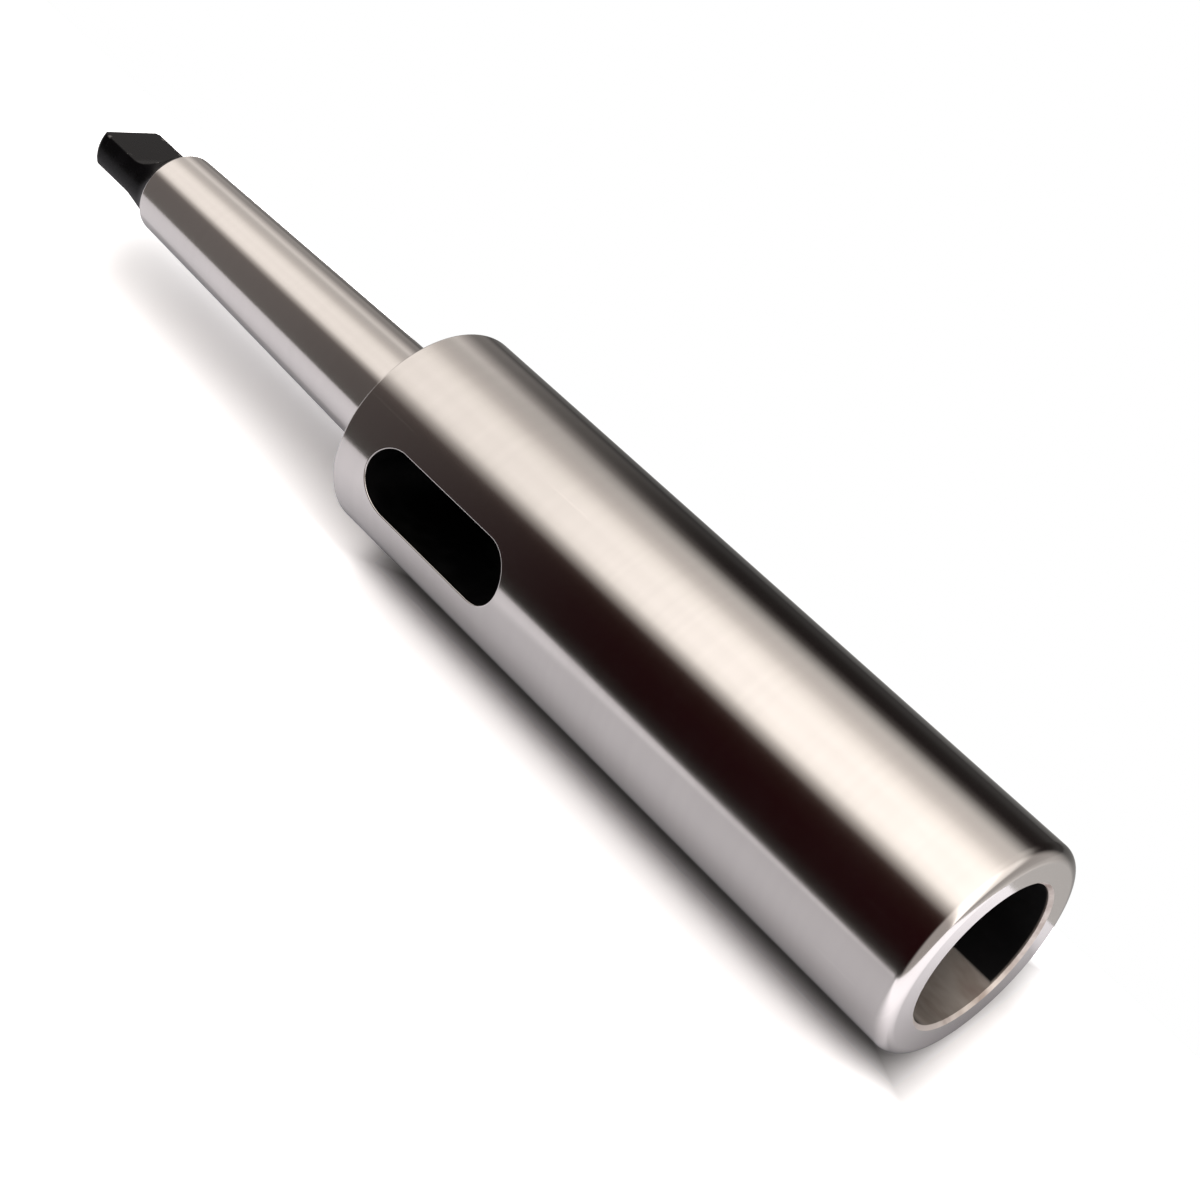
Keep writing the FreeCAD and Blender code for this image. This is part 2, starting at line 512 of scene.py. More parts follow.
def tang_shape():
    """Radius of the turned neck, half thickness between the flats, and where flats start."""
    s = sizes()
    end = s.whole_length
    start = end - s.tang_length
    neck = s.neck_diameter / 2
    half = s.tang_thickness / 2
    lean = s.shank_taper / 2
    end_x = (shank_radius(start - s.shank_end_round)
             - s.shank_end_round * math.hypot(1, lean))
    hollow = s.neck_hollow
    hollow_z = start + hollow * math.sin(math.acos(1 - (end_x - neck) / hollow))
    flat_z = start + s.run_out_gap + s.flat_run_out

    def radius(z):
        if z < hollow_z:
            return neck + hollow - math.sqrt(hollow ** 2 - (hollow_z - z) ** 2)
        past = z - (end - s.tang_corner)
        if past > 0:
            return neck - s.tang_corner + math.sqrt(max(0.0, s.tang_corner ** 2 - past ** 2))
        return neck

    def width(z):
        if z < flat_z:
            drop = max(0.0, s.flat_run_out ** 2 - (flat_z - z) ** 2)
            return half + s.flat_run_out - math.sqrt(drop)
        return half - max(0.0, z - (end - s.tang_break))

    low, high = start, flat_z
    for _ in range(50):
        middle = (low + high) / 2
        if width(middle) > radius(middle):
            low = middle
        else:
            high = middle
    return radius, width, start, high, flat_z, hollow_z


def slope_of(function, z, low, high):
    step = 2e-6
    a, b = max(low, z - step), min(high, z + step)
    return (function(b) - function(a)) / (b - a)


def tang_section(radius, width, z, low, high):
    """Corners of one section of the tang, all round."""
    s = sizes()
    r, w = radius(z), min(width(z), radius(z))
    r_slope = slope_of(radius, z, low, high)
    w_slope = slope_of(width, z, low, high)
    soft = min(s.tang_edge, 0.35 * (r - w))
    turn = math.asin(w / r)
    arc_end = turn - soft / r
    quarter = []
    for i in range(29):
        t = arc_end * i / 28
        quarter.append((r * math.sin(t), r * math.cos(t),
                        unit(math.sin(t), math.cos(t), -r_slope), 1.0 if i > 26 else 0.0))
    corner = Vector((w, r * math.cos(turn)))
    first = Vector(quarter[-1][:2])
    last = Vector((w, max(0.0, corner.y - soft)))
    n_first = Vector(quarter[-1][2])
    n_last = Vector(unit(1.0, 0.0, -w_slope))
    for i in range(1, 5):
        part = i / 4
        p = first * (1 - part) ** 2 + corner * 2 * part * (1 - part) + last * part ** 2
        n = (n_first * (1 - part) + n_last * part).normalized()
        quarter.append((p.x, p.y, tuple(n), 1.0))
    for i in range(1, 13):
        part = i / 12
        quarter.append((w, last.y * (1 - part), tuple(n_last), 1.0 if i == 1 else 0.0))
    ring = []
    for across, along in SIDES_ROUND:
        part = quarter if across * along > 0 else quarter[::-1]
        for x, y, n, edge in part[:-1]:
            ring.append(((across * x, along * y, z), (across * n[0], along * n[1], n[2]), edge))
    return ring


SIDES_ROUND = ((1, 1), (1, -1), (-1, -1), (-1, 1))


def tang():
    """Neck, run-outs, flats and the tang's end."""
    s = sizes()
    skin = Skin()
    radius, width, start, first, flat_z, hollow_z = tang_shape()
    end = s.whole_length
    turns = full_turns()
    rows = []
    for i in range(5):
        z = start + (first - 0.00002 - start) * i / 4
        rows.append(ring_row(radius(z), z, (1.0, -slope_of(radius, z, start, end)), turns))
    skin.grid(rows, closed=True)
    heights = [first + (flat_z - first) * (i / 24) for i in range(25)]
    corner = end - s.tang_corner
    heights += [flat_z + (corner - flat_z) * i / 10 for i in range(1, 11)]
    rounds = [corner + s.tang_corner * math.sin(math.pi / 2 * i / 14) for i in range(1, 15)]
    heights += rounds + [end - s.tang_break]
    heights = sorted(set(heights))
    sections = [tang_section(radius, width, z, start, end) for z in heights]
    skin.stitch(rows[-1], sections[0])
    skin.grid(sections, closed=True)
    up = (0.0, 0.0, 1.0)
    ring = [(point, up, 1.0) for point, _, _ in sections[-1]]
    middle = ((0.0, 0.0, end), up, 0.0)
    for a, b in zip(ring, ring[1:] + ring[:1]):
        skin.face([a, b, middle])
    return skin.mesh("driving_tang")


# ---------------------------------------------------------------- shader groups

def new_group(name, inputs, outputs):
    """Empty node group with named sockets: name -> (kind, default)."""
    group = bpy.data.node_groups.new(name, "ShaderNodeTree")
    for label, (kind, default) in inputs.items():
        item = group.interface.new_socket(label, in_out="INPUT", socket_type=kind)
        if default is not None:
            item.default_value = default
    for label, kind in outputs.items():
        group.interface.new_socket(label, in_out="OUTPUT", socket_type=kind)
    entry = group.nodes.new("NodeGroupInput")
    leave = group.nodes.new("NodeGroupOutput")
    return group, entry, leave


def math_node(tree, operation, first, second=None, clamp=False):
    node = tree.nodes.new("ShaderNodeMath")
    node.operation = operation
    node.use_clamp = clamp
    for socket, value in zip(node.inputs, (first, second)):
        if value is None:
            continue
        if hasattr(value, "is_linked"):
            tree.links.new(value, socket)
        else:
            socket.default_value = value
    return node.outputs[0]


def map_range(tree, value, low, high, out_low, out_high, smooth=False):
    node = tree.nodes.new("ShaderNodeMapRange")
    node.interpolation_type = "SMOOTHSTEP" if smooth else "LINEAR"
    node.clamp = True
    tree.links.new(value, node.inputs["Value"])
    for label, amount in (("From Min", low), ("From Max", high),
                          ("To Min", out_low), ("To Max", out_high)):
        if hasattr(amount, "is_linked"):
            tree.links.new(amount, node.inputs[label])
        else:
            node.inputs[label].default_value = amount
    return node.outputs["Result"]


def mix_colour(tree, factor, first, second):
    node = tree.nodes.new("ShaderNodeMix")
    node.data_type = "RGBA"
    for socket, value in ((node.inputs["Factor"], factor), (node.inputs[6], first),
                          (node.inputs[7], second)):
        if hasattr(value, "is_linked"):
            tree.links.new(value, socket)
        elif isinstance(value, float):
            socket.default_value = value
        else:
            socket.default_value = (*value, 1.0)
    return node.outputs[2]


def scaled(tree, vector, amounts, turn=(0.0, 0.0, 0.0)):
    node = tree.nodes.new("ShaderNodeMapping")
    node.inputs["Scale"].default_value = amounts
    node.inputs["Rotation"].default_value = turn
    tree.links.new(vector, node.inputs["Vector"])
    return node.outputs["Vector"]


def noise(tree, vector, scale, detail=2.0, roughness=0.5):
    node = tree.nodes.new("ShaderNodeTexNoise")
    node.inputs["Scale"].default_value = scale
    node.inputs["Detail"].default_value = detail
    node.inputs["Roughness"].default_value = roughness
    tree.links.new(vector, node.inputs["Vector"])
    return node.outputs["Fac"]


def grinding_lines_group():
    """Fine lines left round the piece by the grinding wheel."""
    group, entry, leave = new_group(
        "grinding_lines",
        {"Vector": ("NodeSocketVector", None), "Depth": ("NodeSocketFloat", 1.0)},
        {"Height": "NodeSocketFloat", "Streaks": "NodeSocketFloat"})
    fine = noise(group, scaled(group, entry.outputs["Vector"], (18, 18, 5200)), 1.0, 2.0)
    broad = noise(group, scaled(group, entry.outputs["Vector"], (9, 9, 620)), 1.0, 3.0)
    both = math_node(group, "ADD", math_node(group, "MULTIPLY", fine, 0.6),
                     math_node(group, "MULTIPLY", broad, 0.4))
    group.links.new(math_node(group, "MULTIPLY", both, entry.outputs["Depth"]),
                    leave.inputs["Height"])
    group.links.new(broad, leave.inputs["Streaks"])
    return group


def handling_group():
    """Oil film and rubbed places from handling, and a few hair scratches."""
    group, entry, leave = new_group(
        "handling_marks",
        {"Vector": ("NodeSocketVector", None), "Scratches": ("NodeSocketFloat", 0.5)},
        {"Film": "NodeSocketFloat", "Scratch": "NodeSocketFloat"})
    vector = entry.outputs["Vector"]
    film = noise(group, scaled(group, vector, (60, 60, 26)), 1.0, 4.0, 0.6)
    group.links.new(map_range(group, film, 0.42, 0.72, 0.0, 1.0, True), leave.inputs["Film"])
    total = None
    for turn, stretch in (((0.3, 0.2, 0.9), (40, 2600, 55)), ((1.1, 0.5, 0.2), (55, 2300, 30)),
                          ((-0.6, 0.9, 1.7), (30, 2900, 42))):
        lines = noise(group, scaled(group, vector, stretch, turn), 1.0, 0.0)
        hit = map_range(group, lines, 0.845, 0.87, 0.0, 1.0)
        total = hit if total is None else math_node(group, "MAXIMUM", total, hit)
    group.links.new(math_node(group, "MULTIPLY", total, entry.outputs["Scratches"]),
                    leave.inputs["Scratch"])
    return group


def edge_wear_group():
    """Bright rubbed edges, broken up by noise."""
    group, entry, leave = new_group(
        "edge_wear",
        {"Vector": ("NodeSocketVector", None), "Nearness": ("NodeSocketFloat", 0.0),
         "Amount": ("NodeSocketFloat", 0.5)},
        {"Wear": "NodeSocketFloat"})
    chips = noise(group, entry.outputs["Vector"], 900.0, 3.0, 0.6)
    reach = math_node(group, "MULTIPLY", entry.outputs["Nearness"], entry.outputs["Amount"])
    gate = math_node(group, "SUBTRACT", math_node(group, "ADD", chips, reach), 1.0)
    group.links.new(map_range(group, gate, 0.0, 0.12, 0.0, 1.0, True), leave.inputs["Wear"])
    return group


MADE = {}


def group_once(name, maker):
    return bpy.data.node_groups.get(name) or maker()


def place(tree, group, **values):
    node = tree.nodes.new("ShaderNodeGroup")
    node.node_tree = group
    for label, value in values.items():
        socket = node.inputs[label]
        if hasattr(value, "is_linked"):
            tree.links.new(value, socket)
        else:
            socket.default_value = value
    return node.outputs


def new_material(name):
    material = bpy.data.materials.new(name)
    material.use_nodes = True
    tree = material.node_tree
    shader = tree.nodes["Principled BSDF"]
    where = tree.nodes.new("ShaderNodeTexCoord").outputs["Object"]
    return material, tree, shader, where


def nearness(tree):
    node = tree.nodes.new("ShaderNodeAttribute")
    node.attribute_name = "edge_nearness"
    return node.outputs["Fac"]


def bump(tree, shader, height, strength, distance):
    node = tree.nodes.new("ShaderNodeBump")
    node.inputs["Strength"].default_value = strength
    node.inputs["Distance"].default_value = distance
    tree.links.new(height, node.inputs["Height"])
    tree.links.new(node.outputs["Normal"], shader.inputs["Normal"])


def finish():
    return bpy.context.scene.sleeve_finish


def tint(colour_value, gain):
    return tuple(min(1.0, c * gain) for c in colour_value)


def ground_steel():
    """Ground and polished outside."""
    f = finish()
    material, tree, shader, where = new_material("ground_finish")
    lines = place(tree, group_once("grinding_lines", grinding_lines_group), Vector=where)
    marks = place(tree, group_once("handling_marks", handling_group), Vector=where,
                  Scratches=0.5)
    base = mix_colour(tree, marks["Film"], tuple(f.steel), tint(f.steel, 0.95))
    streak = map_range(tree, lines["Streaks"], 0.3, 0.7, 0.0, 0.10)
    base = mix_colour(tree, streak, base, tint(f.steel, 0.7))
    base = mix_colour(tree, math_node(tree, "MULTIPLY", marks["Scratch"], 0.35), base,
                      tint(f.steel, 1.15))
    tree.links.new(base, shader.inputs["Base Color"])
    shader.inputs["Metallic"].default_value = 1.0
    rough = math_node(tree, "ADD", math_node(tree, "MULTIPLY", marks["Film"], 0.035),
                      f.steel_roughness)
    rough = math_node(tree, "ADD", rough, math_node(tree, "MULTIPLY", lines["Streaks"], 0.03))
    rough = math_node(tree, "ADD", rough, math_node(tree, "MULTIPLY", marks["Scratch"], 0.1))
    tree.links.new(rough, shader.inputs["Roughness"])
    height = math_node(tree, "SUBTRACT", lines["Height"],
                       math_node(tree, "MULTIPLY", marks["Scratch"], 0.3))
    bump(tree, shader, height, f.line_depth, 0.00002)
    return material


def reamed_steel():
    """Inside of the socket, duller and a little stained, with painted shade: near black except a
    painted lit wedge and the lip at the mouth.
    """
    f = finish()
    material, tree, shader, where = new_material("reamed_finish")
    lines = place(tree, group_once("grinding_lines", grinding_lines_group), Vector=where)
    marks = place(tree, group_once("handling_marks", handling_group), Vector=where,
                  Scratches=0.3)
    stain = noise(tree, scaled(tree, where, (110, 110, 40)), 1.0, 4.0, 0.62)
    stain = map_range(tree, stain, 0.45, 0.7, 0.0, 0.65, True)
    base = mix_colour(tree, stain, tuple(f.bore), tint(f.rust, 1.6))
    base = mix_colour(tree, math_node(tree, "MULTIPLY", marks["Film"], 0.4), base,
                      tint(f.bore, 0.7))
    # Painted light and shade: the wall keeps its steel colour, fully metallic, only in a wedge of
    # turn and at the lip by the mouth, where light falls; elsewhere it is painted near-black shade
    # in the oxide's colour and barely metallic.
    parts = tree.nodes.new("ShaderNodeSeparateXYZ")
    tree.links.new(where, parts.inputs[0])
    turn = math_node(tree, "ARCTAN2", parts.outputs["X"],
                     math_node(tree, "MULTIPLY", parts.outputs["Y"], -1.0))
    low = map_range(tree, turn, math.radians(-139), math.radians(-136), 0.0, 1.0, True)
    high = map_range(tree, turn, math.radians(-80), math.radians(-58), 1.0, 0.0, True)
    painted_lit_wedge = math_node(tree, "MULTIPLY", low, high)
    painted_lit_lip = map_range(tree, parts.outputs["Z"], 0.0004, 0.0009, 1.0, 0.0, True)
    bright = math_node(tree, "MAXIMUM", painted_lit_wedge, painted_lit_lip)
    base = mix_colour(tree, bright, tint(f.oxide, 1.5), base)
    tree.links.new(base, shader.inputs["Base Color"])
    tree.links.new(map_range(tree, bright, 0.0, 1.0, 0.1, 1.0), shader.inputs["Metallic"])
    rough = math_node(tree, "ADD", math_node(tree, "MULTIPLY", stain, 0.15), f.bore_roughness)
    tree.links.new(rough, shader.inputs["Roughness"])
    shader.inputs["Specular IOR Level"].default_value = 0.2
    bump(tree, shader, lines["Height"], 0.15, 0.00003)
    return material


def black_oxide():
    """Black heat treatment scale, rubbed bright on its edges."""
    f = finish()
    material, tree, shader, where = new_material("black_scale")
    marks = place(tree, group_once("handling_marks", handling_group), Vector=where,
                  Scratches=0.25)
    wear = place(tree, group_once("edge_wear", edge_wear_group), Vector=where,
                 Nearness=nearness(tree), Amount=0.42)["Wear"]
    cloud = noise(tree, where, 420.0, 4.0, 0.6)
    cloud = map_range(tree, cloud, 0.4, 0.7, 0.0, 0.8, True)
    base = mix_colour(tree, cloud, tuple(f.oxide), tint(f.oxide, 2.0))
    base = mix_colour(tree, math_node(tree, "MULTIPLY", marks["Scratch"], 0.4), base,
                      (0.030, 0.029, 0.030))
    base = mix_colour(tree, math_node(tree, "MULTIPLY", wear, 0.6), base, tint(f.steel, 0.4))
    tree.links.new(base, shader.inputs["Base Color"])
    tree.links.new(math_node(tree, "MULTIPLY", wear, 0.7), shader.inputs["Metallic"])
    rough = math_node(tree, "ADD", math_node(tree, "MULTIPLY", cloud, 0.06),
                      f.oxide_roughness)
    tree.links.new(rough, shader.inputs["Roughness"])
    shader.inputs["Specular IOR Level"].default_value = 0.08
    grain = noise(tree, where, 2600.0, 3.0, 0.6)
    bump(tree, shader, grain, 0.04, 0.00003)
    return material


def painted_shade_slot_black():
    """Scale on the walls of the slot, dull, and painted darker than the tang's scale as shade in
    the recess.
    """
    f = finish()
    material, tree, shader, where = new_material("slot_scale_painted_shade")
    wear = place(tree, group_once("edge_wear", edge_wear_group), Vector=where,
                 Nearness=nearness(tree), Amount=0.3)["Wear"]
    cloud = noise(tree, where, 380.0, 4.0, 0.6)
    cloud = map_range(tree, cloud, 0.4, 0.7, 0.0, 1.0, True)
    # Painted shade: the slot's scale is a darker copy of the tang's, a fifth to a half of its
    # colour.
    base = mix_colour(tree, cloud, tint(f.oxide, 0.2), tint(f.oxide, 0.5))
    base = mix_colour(tree, math_node(tree, "MULTIPLY", wear, 0.3), base, tint(f.steel, 0.3))
    tree.links.new(base, shader.inputs["Base Color"])
    tree.links.new(map_range(tree, cloud, 0.0, 1.0, 0.5, 0.7), shader.inputs["Roughness"])
    shader.inputs["Specular IOR Level"].default_value = 0.12
    bump(tree, shader, noise(tree, where, 1800.0, 3.0, 0.6), 0.15, 0.00003)
    return material


def material_once(maker):
    """The material that a maker builds, built at its first use."""
    if maker.__name__ not in MADE:
        MADE[maker.__name__] = maker()
    return MADE[maker.__name__]


def add_piece(name, mesh, material):
    """Puts a finished piece in the scene in place of the plain solid."""
    piece = bpy.data.objects.new(name, mesh)
    bpy.context.collection.objects.link(piece)
    mesh.materials.append(material)
    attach(piece, "root")
    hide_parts(NODE)
    return piece


# ---------------------------------------------------------------- stage

def direction(azimuth, elevation=0.0):
    return Vector((math.sin(azimuth) * math.cos(elevation),
                   -math.cos(azimuth) * math.cos(elevation), math.sin(elevation)))


def make_camera():
    s = bpy.context.scene.sleeve_stage
    back = direction(s.azimuth, s.elevation)
    side = Vector((math.cos(s.azimuth), math.sin(s.azimuth), 0.0))
    over = back.cross(side)
    right = side * math.cos(s.roll) - over * math.sin(s.roll)
    up = side * math.sin(s.roll) + over * math.cos(s.roll)
    aim = Vector((0.0, 0.0, s.aim_height)) - direction(math.radians(123.5)) * s.aim_side
    data = bpy.data.cameras.new("camera")
    data.lens = s.lens
    data.sensor_width = 36.0
    data.clip_start = 0.01
    data.clip_end = 20.0
    camera = bpy.data.objects.new("camera", data)
    axes = Matrix((right, up, back)).transposed()
    camera.matrix_world = Matrix.Translation(aim + back * s.distance) @ axes.to_4x4()
    bpy.context.collection.objects.link(camera)
    bpy.context.scene.camera = camera


def floor_material():
    """Pale paper, seen from its front only, with a painted contact shadow beside the body and
    painted light in what the metal reflects.
    """
    s = bpy.context.scene.sleeve_stage
    material = bpy.data.materials.new("pale_floor")
    material.use_nodes = True
    tree = material.node_tree
    tree.nodes.clear()
    path = tree.nodes.new("ShaderNodeLightPath")
    where = tree.nodes.new("ShaderNodeTexCoord").outputs["Object"]
    grain = noise(tree, where, 160.0, 3.0)
    # Two colours of one floor: floor_seen, darker, as the metal reflects it, a painted shade in
    # the reflection; floor_colour times floor_gain, painted brighter than white, as the camera
    # sees it.
    seen = mix_colour(tree, map_range(tree, grain, 0.4, 0.6, 0.0, 0.04), tuple(s.floor_seen),
                      tint(s.floor_seen, 0.8))
    gain = tree.nodes.new("ShaderNodeVectorMath")
    gain.operation = "SCALE"
    gain.inputs[0].default_value = tuple(s.floor_colour)
    gain.inputs["Scale"].default_value = s.floor_gain
    shade = mix_colour(tree, path.outputs["Is Camera Ray"], seen, gain.outputs[0])
    # Painted contact shadow: the floor is darkened along the sleeve's line of contact by distance
    # from that line, less under the raised shank and none past the mouth; it is worked out from
    # position, not cast.
    parts = tree.nodes.new("ShaderNodeSeparateXYZ")
    tree.links.new(where, parts.inputs[0])
    away = tree.nodes.new("ShaderNodeVectorMath")
    away.operation = "DOT_PRODUCT"
    away.inputs[1].default_value = direction(s.floor_turn - math.pi / 2)
    tree.links.new(where, away.inputs[0])
    gap = math_node(tree, "ABSOLUTE", away.outputs["Value"])
    painted_shadow_and_light = map_range(tree, gap, 0.0100, 0.0180, 0.0, 1.0, True)
    over = map_range(tree, parts.outputs["Z"], 0.106, 0.122, 0.0, 1.0, True)
    over = math_node(tree, "MULTIPLY", over,
                     map_range(tree, gap, 0.006, 0.026, 0.62, 1.0, True))
    under = map_range(tree, parts.outputs["Z"], -0.012, 0.010, 1.0, 0.0, True)
    clear_of = math_node(tree, "MAXIMUM", over, under)
    painted_shadow_and_light = math_node(tree, "MAXIMUM", painted_shadow_and_light, clear_of)
    # Painted light in reflection: glossy rays find the floor up to 2.5 times brighter below the
    # mouth and 1.35 times brighter by the shank.
    bright = map_range(tree, parts.outputs["Z"], -0.028, 0.012, 2.5, 1.0, True)
    bright = math_node(tree, "MULTIPLY", bright, map_range(
        tree, parts.outputs["Z"], 0.11, 0.15, 1.0, 1.35, True))
    reflected = math_node(tree, "MULTIPLY", path.outputs["Is Glossy Ray"],
                          math_node(tree, "SUBTRACT", bright, 1.0))
    painted_shadow_and_light = math_node(tree, "MULTIPLY", painted_shadow_and_light, math_node(tree, "ADD", reflected, 1.0))
    # The painted shadow and the painted reflection light scale the floor's colour.
    shaded = tree.nodes.new("ShaderNodeVectorMath")
    shaded.operation = "SCALE"
    tree.links.new(shade, shaded.inputs[0])
    tree.links.new(painted_shadow_and_light, shaded.inputs["Scale"])
    shade = shaded.outputs[0]
    paper = tree.nodes.new("ShaderNodeBsdfDiffuse")
    tree.links.new(shade, paper.inputs["Color"])
    clear = tree.nodes.new("ShaderNodeBsdfTransparent")
    mixed = tree.nodes.new("ShaderNodeMixShader")
    facing = tree.nodes.new("ShaderNodeNewGeometry").outputs["Backfacing"]
    tree.links.new(facing, mixed.inputs[0])
    tree.links.new(clear.outputs[0], mixed.inputs[2])
    # Painted glow: the floor emits a faint light that only glossy rays see; it is no lamp.
    glow = tree.nodes.new("ShaderNodeEmission")
    tree.links.new(math_node(tree, "MULTIPLY", path.outputs["Is Glossy Ray"], s.floor_glow),
                   glow.inputs["Strength"])
    lit = tree.nodes.new("ShaderNodeAddShader")
    tree.links.new(paper.outputs[0], lit.inputs[0])
    tree.links.new(glow.outputs[0], lit.inputs[1])
    tree.links.new(lit.outputs[0], mixed.inputs[1])
    leave = tree.nodes.new("ShaderNodeOutputMaterial")
    tree.links.new(mixed.outputs[0], leave.inputs["Surface"])
    return material


def make_floor():
    """A pale sheet that the sleeve lies on, tangent to the side of its body."""
    s = bpy.context.scene.sleeve_stage
    normal = direction(s.floor_turn)
    along = Vector((0.0, 0.0, 1.0))
    side = along.cross(normal)
    contact = -normal * (BODY_WIDTH / 2 + 0.00002)
    corners = []
    for reach, height in ((-0.020, -0.9), (1.2, -0.9), (1.2, 1.1), (-0.020, 1.1)):
        corners.append(contact - side * reach + along * height)
    mesh = bpy.data.meshes.new("floor")
    mesh.from_pydata([tuple(c) for c in corners], [], [(0, 1, 2, 3)])
    mesh.update()
    if mesh.polygons[0].normal.dot(normal) < 0:
        mesh.flip_normals()
    floor = bpy.data.objects.new("floor", mesh)
    bpy.context.collection.objects.link(floor)
    mesh.materials.append(floor_material())


BANDS = (
    # azimuth in degrees, then red, green and blue
    (-180, 0.10, 0.098, 0.096),
    (-165, 0.17, 0.165, 0.16),
    (-145, 0.50, 0.485, 0.475),
    (-110, 0.95, 0.92, 0.90),
    (-60, 0.60, 0.585, 0.575),
    (-34, 0.46, 0.44, 0.43),
    (-26, 0.030, 0.026, 0.024),
    (-12, 0.016, 0.0045, 0.0050),
    (10, 0.018, 0.0040, 0.0048),
    (26, 0.022, 0.0070, 0.0060),
    (34, 0.045, 0.022, 0.018),
    (42, 0.62, 0.57, 0.53),
    (50, 1.52, 1.43, 1.35),
    (60, 1.72, 1.62, 1.54),
    (74, 1.66, 1.56, 1.48),
    (80, 1.72, 1.62, 1.54),
    (89, 1.62, 1.53, 1.44),
    (97, 1.38, 1.29, 1.22),
    (104, 1.05, 0.98, 0.92),
    (112, 0.86, 0.80, 0.76),
    (122, 0.80, 0.76, 0.72),
    (130, 0.45, 0.43, 0.41),
    (139, 0.08, 0.070, 0.066),
    (147, 0.016, 0.012, 0.012),
    (160, 0.024, 0.021, 0.020),
    (170, 0.050, 0.047, 0.046),
)


def make_world():
    """Soft room light that the metal shows as bands, and a white background."""
    world = bpy.data.worlds.new("studio")
    bpy.context.scene.world = world
    world.use_nodes = True
    tree = world.node_tree
    tree.nodes.clear()
    towards = tree.nodes.new("ShaderNodeTexCoord").outputs["Generated"]
    parts = tree.nodes.new("ShaderNodeSeparateXYZ")
    tree.links.new(towards, parts.inputs[0])
    turn = math_node(tree, "ARCTAN2", parts.outputs["X"],
                     math_node(tree, "MULTIPLY", parts.outputs["Y"], -1.0))
    place_on = map_range(tree, turn, -math.pi, math.pi, 0.0, 1.0)
    ramp = tree.nodes.new("ShaderNodeValToRGB")
    ramp.color_ramp.interpolation = "LINEAR"
    points = ramp.color_ramp.elements
    while len(points) > 1:
        points.remove(points[0])
    for i, (azimuth, red, green, blue) in enumerate(BANDS):
        spot = (azimuth + 180) / 360
        point = points[0] if i == 0 else points.new(spot)
        point.position = spot
        point.color = (red / 2, green / 2, blue / 2, 1.0)
    tree.links.new(place_on, ramp.inputs["Fac"])
    rise = math_node(tree, "ARCSINE", parts.outputs["Z"])
    dim = map_range(tree, rise, math.radians(15), math.radians(42), 2.15, 1.35, True)
    strong = tree.nodes.new("ShaderNodeVectorMath")
    strong.operation = "SCALE"
    tree.links.new(ramp.outputs["Color"], strong.inputs[0])
    tree.links.new(dim, strong.inputs["Scale"])
    lift = map_range(tree, rise, math.radians(29), math.radians(47), 0.0, 0.19, True)
    lifted = tree.nodes.new("ShaderNodeVectorMath")
    lifted.operation = "ADD"
    tree.links.new(strong.outputs[0], lifted.inputs[0])
    up = map_range(tree, rise, math.radians(27), math.radians(40), 0.0, 1.0, True)
    start = map_range(tree, turn, math.radians(120), math.radians(133), 0.0, 0.55, True)
    fade = map_range(tree, turn, math.radians(136), math.radians(156), 1.0, 0.36, True)
    stop = map_range(tree, turn, math.radians(166), math.radians(180), 1.0, 0.0, True)
    side = math_node(tree, "MULTIPLY", math_node(tree, "MULTIPLY", start, fade),
                     math_node(tree, "MULTIPLY", stop, up))
    lift = math_node(tree, "ADD", lift, side)
    below = map_range(tree, rise, math.radians(-30), math.radians(-10), 0.45, 0.0, True)
    lift = math_node(tree, "ADD", lift, below)
    haze = tree.nodes.new("ShaderNodeCombineXYZ")
    for i, gain in enumerate((1.0, 0.94, 0.90)):
        tree.links.new(math_node(tree, "MULTIPLY", lift, gain), haze.inputs[i])
    tree.links.new(haze.outputs[0], lifted.inputs[1])
    path = tree.nodes.new("ShaderNodeLightPath")
    shown = mix_colour(tree, path.outputs["Is Camera Ray"], lifted.outputs[0],
                       (1.0, 1.0, 1.0))
    glow = tree.nodes.new("ShaderNodeBackground")
    tree.links.new(shown, glow.inputs["Color"])
    leave = tree.nodes.new("ShaderNodeOutputWorld")
    tree.links.new(glow.outputs[0], leave.inputs["Surface"])


def make_lamp():
    """Large soft lamp over the floor."""
    s = bpy.context.scene.sleeve_stage
    data = bpy.data.lights.new("soft_lamp", "AREA")
    data.shape = "RECTANGLE"
    data.size = 0.30
    data.size_y = 0.45
    data.energy = s.lamp_power
    lamp = bpy.data.objects.new("soft_lamp", data)
    towards = direction(math.radians(96), math.radians(12))
    lamp.location = Vector((0.0, 0.0, 0.09)) + towards * 0.55
    lamp.rotation_mode = "QUATERNION"
    lamp.rotation_quaternion = (-towards).to_track_quat("-Z", "Y")
    lamp.visible_glossy = False
    lamp.visible_camera = False
    bpy.context.collection.objects.link(lamp)


# ---------------------------------------------------------------- operators

class SLEEVE_OT_ground_outside(bpy.types.Operator):
    """Build the mouth face, body, shoulder and ground shank"""

    bl_idname = "sleeve.ground_outside"
    bl_label = "Ground Outside"

    def execute(self, context):
        add_piece("ground_outside", outside(), material_once(ground_steel))
        return {"FINISHED"}


class SLEEVE_OT_taper_socket(bpy.types.Operator):
    """Build the reamed socket and its pilot hole"""

    bl_idname = "sleeve.taper_socket"
    bl_label = "Taper Socket"

    def execute(self, context):
        add_piece("taper_socket", socket(), material_once(reamed_steel))
        return {"FINISHED"}


class SLEEVE_OT_drift_slot(bpy.types.Operator):
    """Build the walls of the drift slot"""

    bl_idname = "sleeve.drift_slot"
    bl_label = "Drift Slot"

    def execute(self, context):
        add_piece("drift_slot", slot(), material_once(painted_shade_slot_black))
        return {"FINISHED"}


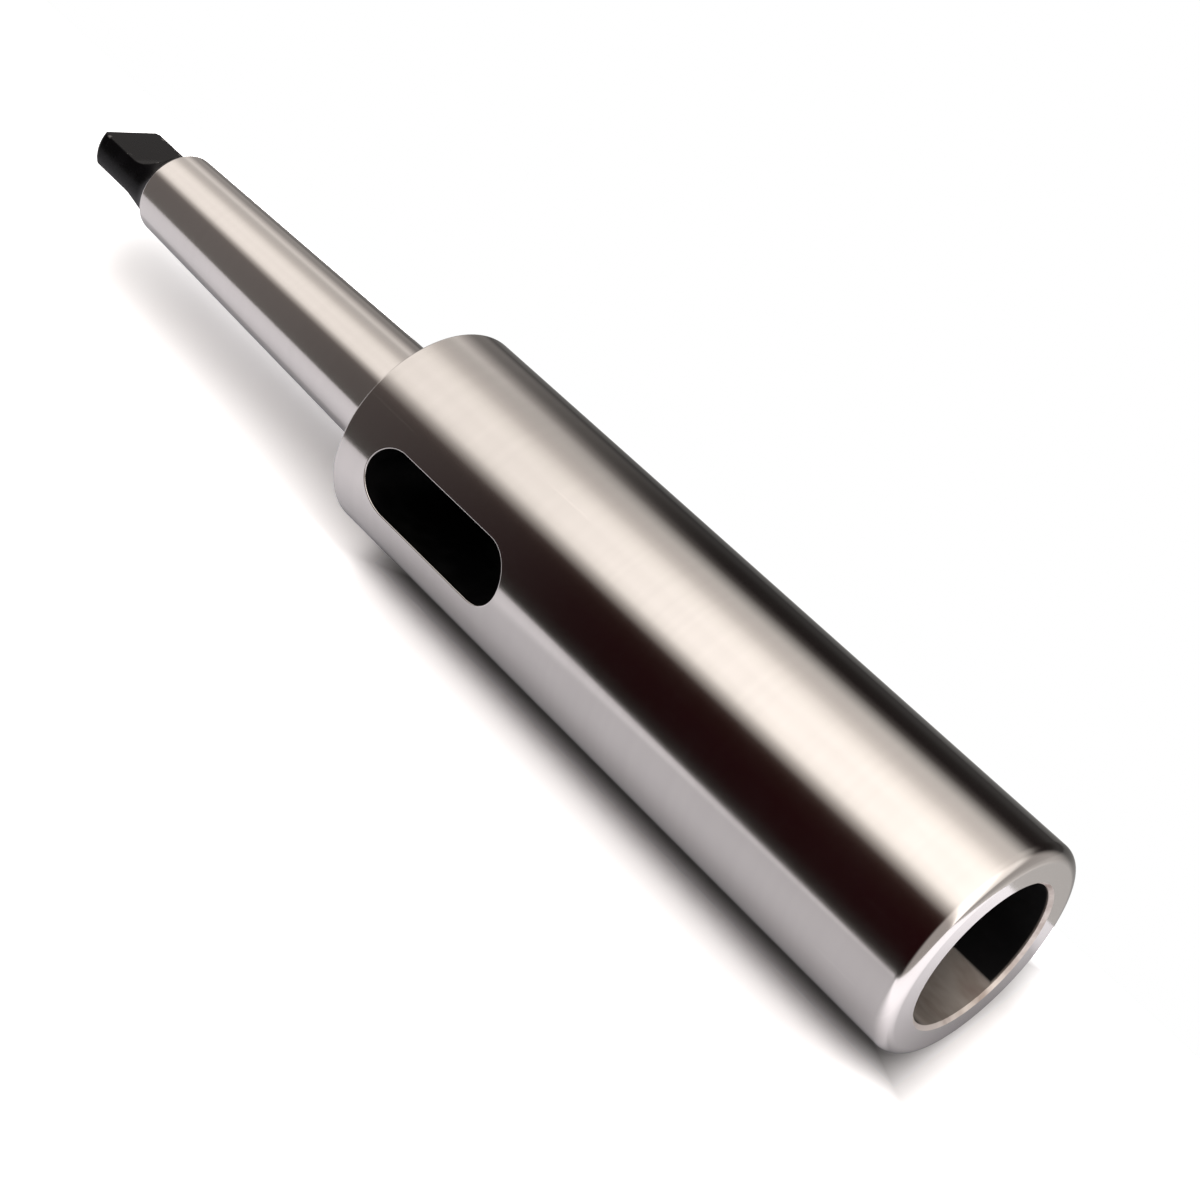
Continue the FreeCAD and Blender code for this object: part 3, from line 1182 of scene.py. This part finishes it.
class SLEEVE_OT_driving_tang(bpy.types.Operator):
    """Build the neck and the milled driving tang"""

    bl_idname = "sleeve.driving_tang"
    bl_label = "Driving Tang"

    def execute(self, context):
        add_piece("driving_tang", tang(), material_once(black_oxide))
        return {"FINISHED"}


class SLEEVE_OT_stage(bpy.types.Operator):
    """Set the floor, the light and the camera"""

    bl_idname = "sleeve.stage"
    bl_label = "Stage"

    def execute(self, context):
        make_floor()
        make_world()
        make_lamp()
        make_camera()
        context.scene.view_settings.view_transform = "Standard"
        return {"FINISHED"}


class SLEEVE_PT_tools(bpy.types.Panel):
    """Pieces and settings of the taper sleeve"""

    bl_idname = "SLEEVE_PT_tools"
    bl_label = "Taper Sleeve"
    bl_space_type = "VIEW_3D"
    bl_region_type = "UI"
    bl_category = "Taper Sleeve"

    def draw(self, context):
        layout = self.layout
        for operator in OPERATORS:
            layout.operator(operator.bl_idname)
        for label, owner in (("Sizes", "sleeve_sizes"), ("Finish", "sleeve_finish"),
                             ("Stage", "sleeve_stage")):
            box = layout.box()
            box.label(text=label)
            group = getattr(context.scene, owner)
            for name in group.__annotations__:
                box.prop(group, name)


OPERATORS = (SLEEVE_OT_ground_outside, SLEEVE_OT_taper_socket, SLEEVE_OT_drift_slot,
             SLEEVE_OT_driving_tang, SLEEVE_OT_stage)
GROUPS = (("sleeve_sizes", SleeveSizes), ("sleeve_finish", SleeveFinish),
          ("sleeve_stage", SleeveStage))


def register():
    for name, group in GROUPS:
        bpy.utils.register_class(group)
        setattr(bpy.types.Scene, name, bpy.props.PointerProperty(type=group))
    for item in OPERATORS + (SLEEVE_PT_tools,):
        bpy.utils.register_class(item)


def unregister():
    for item in reversed(OPERATORS + (SLEEVE_PT_tools,)):
        bpy.utils.unregister_class(item)
    for name, group in reversed(GROUPS):
        delattr(bpy.types.Scene, name)
        bpy.utils.unregister_class(group)


def main():
    register()
    bpy.ops.sleeve.ground_outside()
    bpy.ops.sleeve.taper_socket()
    bpy.ops.sleeve.drift_slot()
    bpy.ops.sleeve.driving_tang()
    bpy.ops.sleeve.stage()


if __name__ == "__main__":
    main()
